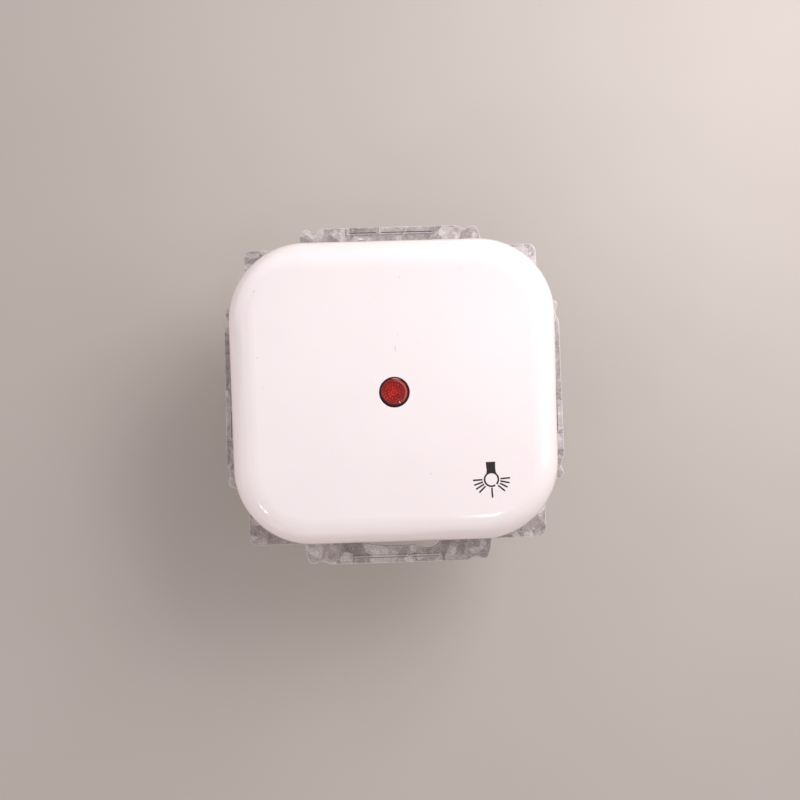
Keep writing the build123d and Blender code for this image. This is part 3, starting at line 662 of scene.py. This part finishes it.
# disc with a raised rim: inset from the radius, z
DISC_PROFILE = [(0, 11.05), (0, 11.42), (0.06, 11.46), (0.14, 11.40), (0.16, 11.25)]
PRISM_LIMIT = DISC_RADIUS - 0.15
PRISM_PITCH = 0.54
PRISM_RINGS = 5               # counting the single middle prism
PRISM_BASE_Z, PRISM_TIP_Z = 11.22, 11.56
PRISM_SHRINK = 0.97           # a hair apart, so each prism stays a closed solid


def prism_cell(ring, k):
    """Base outline and tip of one prism, the tips set slightly off their middles."""
    outer = min((ring + 0.5) * PRISM_PITCH, PRISM_LIMIT)
    if ring == 0:
        return circle(outer, 6), (0.03, -0.02)
    inner = (ring - 0.5) * PRISM_PITCH
    step = 2 * math.pi / (6 * ring)
    start = step * (k + 0.5 * (ring % 2))
    end, middle = start + step, start + step / 2
    polar = [(inner, start), (outer, start), (outer * 1.004, middle), (outer, end), (inner, end),
             ((inner + outer) / 2 + 0.05 * math.sin(7.7 * k + ring),
              middle + 0.1 * step * math.sin(12.9 * k + 3 * ring))]
    *base, tip = [(r * math.cos(a), r * math.sin(a)) for r, a in polar]
    return base, tip


def lens_prisms():
    bm = bmesh.new()
    loft(bm, [[bm.verts.new(on_rocker(x, y, z))
               for x, y in circle(DISC_RADIUS - inset, DISC_SEGMENTS)]
              for inset, z in DISC_PROFILE])
    for ring in range(PRISM_RINGS):
        for k in range(max(1, 6 * ring)):
            base, tip = prism_cell(ring, k)
            count = len(base)
            mid_x, mid_y = sum(p[0] for p in base) / count, sum(p[1] for p in base) / count
            low = [bm.verts.new(on_rocker(mid_x + PRISM_SHRINK * (x - mid_x),
                                          mid_y + PRISM_SHRINK * (y - mid_y), PRISM_BASE_Z))
                   for x, y in base]
            lift = 0.05 * math.sin(3.1 * ring + 5.3 * k)
            top = bm.verts.new(on_rocker(*tip, PRISM_TIP_Z + lift))
            for j in range(count):
                bm.faces.new((low[j], low[(j + 1) % count], top))
            bm.faces.new(low[::-1])
    disc = mesh_object("lens_prism_disc", bm, MATERIALS["prism"])
    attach(disc, "rocker")


# ------------------------------------------------------------------ threaded claw screws
SCREW_X = 24.4
SCREW_SEGMENTS = 40
SCREW_SMOOTH = math.radians(30)
THREAD_PITCH = 0.5
THREAD_ROWS_PER_TURN = 8
THREAD_LOW, THREAD_HIGH = -13.42, 0.55
ROOT_RADIUS, CREST_RADIUS = 1.20, 1.48
POINT_RADIUS, POINT_LENGTH = ROOT_RADIUS * 0.92, 0.6     # taper at the lower end
RUNOUT_LENGTH = 0.25                                     # fade to the root at the upper end
# plain neck and pan head: radius, z
HEAD_PROFILE = [
    (ROOT_RADIUS, 0.75), (ROOT_RADIUS, 1.04), (2.55, 1.04), (2.73, 1.18), (2.75, 1.75),
    (2.68, 2.15), (2.45, 2.52), (2.05, 2.76), (1.4, 2.87), (0.6, 2.9),
]
CROSS_LONG, CROSS_SHORT = 1.5, 0.3           # half sizes of each arm of the cross recess
CROSS_MID_Z, CROSS_HEIGHT = 2.35, 1.5
CROSS_TAPER = 0.62                           # share of the length left at the bottom


def thread_radius(z, turn):
    """Radius of the thread at a height and a share of a turn."""
    phase = ((z - THREAD_LOW) / THREAD_PITCH - turn) % 1.0
    ramp = 1 - abs(2 * phase - 1)
    crest = min(1.0, max(0.0, (ramp - 0.12) / 0.70))
    radius = ROOT_RADIUS + (CREST_RADIUS - ROOT_RADIUS) * crest
    if z - THREAD_LOW < POINT_LENGTH:
        radius = POINT_RADIUS + (radius - POINT_RADIUS) * (z - THREAD_LOW) / POINT_LENGTH
    if THREAD_HIGH - z < RUNOUT_LENGTH:
        radius = ROOT_RADIUS + (radius - ROOT_RADIUS) * (THREAD_HIGH - z) / RUNOUT_LENGTH
    return radius


def cross_cutter(name, centre_x):
    bm = bmesh.new()
    for half_x, half_y in ((CROSS_LONG, CROSS_SHORT), (CROSS_SHORT, CROSS_LONG)):
        for vert in bmesh.ops.create_cube(bm, size=1.0)["verts"]:
            x, y, z = vert.co
            taper = CROSS_TAPER if z < 0 else 1.0
            taper_x, taper_y = (taper, 1) if half_x > half_y else (1, taper)
            vert.co = ((centre_x + x * 2 * half_x * taper_x) * MM,
                       y * 2 * half_y * taper_y * MM, (CROSS_MID_Z + z * CROSS_HEIGHT) * MM)
    return mesh_object(name, bm, MATERIALS["screw"])


def threaded_screw(node, centre_x):
    bm = bmesh.new()

    def ring(points, z):
        return [bm.verts.new(((centre_x + x) * MM, y * MM, z * MM)) for x, y in points]

    rings = []
    rows = int((THREAD_HIGH - THREAD_LOW) / THREAD_PITCH * THREAD_ROWS_PER_TURN) + 1
    for i in range(rows + 1):
        z = THREAD_LOW + (THREAD_HIGH - THREAD_LOW) * i / rows
        points = []
        for k in range(SCREW_SEGMENTS):
            angle = 2 * math.pi * k / SCREW_SEGMENTS
            radius = thread_radius(z, k / SCREW_SEGMENTS)
            points.append((radius * math.cos(angle), radius * math.sin(angle)))
        rings.append(ring(points, z))
    rings += [ring(circle(radius, SCREW_SEGMENTS), z) for radius, z in HEAD_PROFILE]
    loft(bm, rings)
    name = node + "_threaded"
    screw = mesh_object(name, bm, MATERIALS["screw"], SCREW_SMOOTH)
    cutter = cross_cutter(name + "_cut", centre_x)
    cut = screw.modifiers.new("cross", "BOOLEAN")
    cut.operation = "DIFFERENCE"
    cut.solver = "EXACT"
    cut.use_self = True
    cut.object = cutter
    depsgraph = bpy.context.evaluated_depsgraph_get()
    mesh = bpy.data.meshes.new_from_object(screw.evaluated_get(depsgraph))
    screw.modifiers.clear()
    screw.data = mesh
    bpy.data.objects.remove(cutter)
    mesh.set_sharp_from_angle(angle=SCREW_SMOOTH)
    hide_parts(node)
    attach(screw, node)


lamp_symbol()
lens_prisms()
for side, sign in SIDES:
    threaded_screw(f"claw_screw_{side}", sign * SCREW_X)


def flexing_spring(node, body):
    """The CAD spring again, as a copy with its own mesh, hung on the given body."""
    spring = bpy.data.objects.new(node + "_flexing", NODES[node].data.copy())
    bpy.context.scene.collection.objects.link(spring)
    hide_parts(node)
    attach(spring, body)
    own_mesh(spring)


for side, sign in SIDES:
    flexing_spring(f"plunger_spring_{side}", "rocker")
    for level in ("upper", "lower"):
        flexing_spring(f"clamp_spring_{level}_{side}", "insert")


# ------------------------------------------------------------------ floor, in metres
FLOOR_HALF_SIZE = 1.6
FLOOR_GAP = 0.00005           # below the lowest CAD point
FLOOR_FADE = (0.30, 0.85)     # distances between which the floor fades out


def floor_material():
    mat = Material("floor_pale")
    cloud = mat.patches(9, (0.3, 0.7), detail=3)
    mat.set(Base_Color=mat.mix(cloud, rgb(192, 184, 178), rgb(188, 179, 173)),
            Roughness=0.8, Specular_IOR_Level=0.15)
    # seen from below the floor is clear, so that the back can be looked at
    away = mat.fit(mat.vector("LENGTH", mat.geometry("Position")), FLOOR_FADE)
    clear = mat.math("MAXIMUM", mat.geometry("Backfacing"), away)
    both = mat.new("MixShader", {0: clear, 1: mat.shader.outputs["BSDF"],
                                 2: mat.new("BsdfTransparent").outputs["BSDF"]})
    mat.put(mat.out.inputs["Surface"], both.outputs["Shader"])
    return mat.material


def floor():
    bm = bmesh.new()
    bmesh.ops.create_grid(bm, x_segments=2, y_segments=2, size=FLOOR_HALF_SIZE)
    for vert in bm.verts:
        vert.co.z = CAD_BOX[0].z - FLOOR_GAP
    plane = mesh_object("floor_plane", bm, floor_material())
    for face in plane.data.polygons:
        if face.normal.z < 0:
            face.flip()
    plane.visible_shadow = False


# ------------------------------------------------------------------ lights, in metres
def area(name, place, size, power, colour, target=(0, 0, 0), size_y=None):
    light = bpy.data.lights.new(name, "AREA")
    light.energy = power
    light.color = colour
    light.size = size
    if size_y:
        light.shape = "RECTANGLE"
        light.size_y = size_y
    lamp = bpy.data.objects.new(name, light)
    bpy.context.scene.collection.objects.link(lamp)
    lamp.location = place
    lamp.rotation_mode = "QUATERNION"
    lamp.rotation_quaternion = (Vector(target) - Vector(place)).to_track_quat("-Z", "Y")


def toward(azimuth, zenith, distance):
    """A place from its angle from +X, its angle from +Z, both in degrees, and distance."""
    a, z = math.radians(azimuth), math.radians(zenith)
    return (distance * math.sin(z) * math.cos(a), distance * math.sin(z) * math.sin(a),
            distance * math.cos(z))


def lights():
    area("window", toward(azimuth=30, zenith=58, distance=0.62),
         size=0.95, size_y=0.36, power=1.98, colour=(1.0, 0.985, 0.995))
    area("window_near", toward(azimuth=42, zenith=52, distance=0.22), target=(0, 0, 0.01),
         size=0.12, power=0.28, colour=(1.0, 0.99, 1.0))
    area("fill", toward(azimuth=212, zenith=70, distance=1.30),
         size=1.50, power=3.5, colour=(1.0, 0.91, 0.88))
    area("bounce_front", toward(azimuth=252, zenith=85, distance=0.75), target=(0, 0, 0.006),
         size=0.60, power=0.62, colour=(1.0, 0.80, 0.73))
    area("front", toward(azimuth=266, zenith=60, distance=0.80),
         size=0.50, power=0.45, colour=(1.0, 0.93, 0.91))
    area("bounce_left", toward(azimuth=143, zenith=76, distance=0.90), target=(0, 0, 0.006),
         size=1.10, power=2.9, colour=(1.0, 0.92, 0.97))
    area("ceiling_lamp", toward(azimuth=-67.5, zenith=27, distance=0.62),
         target=(0.016, -0.02, 0.012), size=0.048, size_y=0.014, power=0.070,
         colour=(1.0, 0.99, 0.99))
    area("low_lamp", toward(azimuth=222.3, zenith=57.8, distance=0.60),
         target=(-0.026, -0.0225, 0.011), size=0.06, size_y=0.03, power=0.13,
         colour=(1.0, 0.99, 0.98))
    area("under", (0.10, -0.25, -0.70), size=0.70, power=2.6, colour=(1.0, 0.98, 0.96))


def studio_world():
    world = bpy.data.worlds.new("studio")
    bpy.context.scene.world = world
    world.use_nodes = True
    background = world.node_tree.nodes["Background"]
    background.inputs["Color"].default_value = (0.95, 0.90, 0.91, 1)
    background.inputs["Strength"].default_value = 0.41


# ------------------------------------------------------------------ camera
CAMERA_PLACE = (-0.726, -7.977, 149.514)
CAMERA_RIGHT = (0.99949, -0.02986, 0.01166)
CAMERA_BACK = (-0.01295, -0.04333, 0.99898)     # away from the view


def camera():
    lens = bpy.data.cameras.new("camera")
    cam = bpy.data.objects.new("camera", lens)
    scene = bpy.context.scene
    scene.collection.objects.link(cam)
    lens.sensor_width = 36.0
    lens.lens = 31.7736
    lens.clip_start = 0.005
    lens.clip_end = 20.0
    back = Vector(CAMERA_BACK).normalized()
    up = back.cross(Vector(CAMERA_RIGHT).normalized()).normalized()
    right = up.cross(back).normalized()
    turn = Matrix((right, up, back)).transposed()
    cam.matrix_world = Matrix.Translation(Vector(CAMERA_PLACE) * MM) @ turn.to_4x4()
    scene.camera = cam


floor()
lights()
studio_world()
bpy.context.scene.view_settings.view_transform = "Standard"
camera()
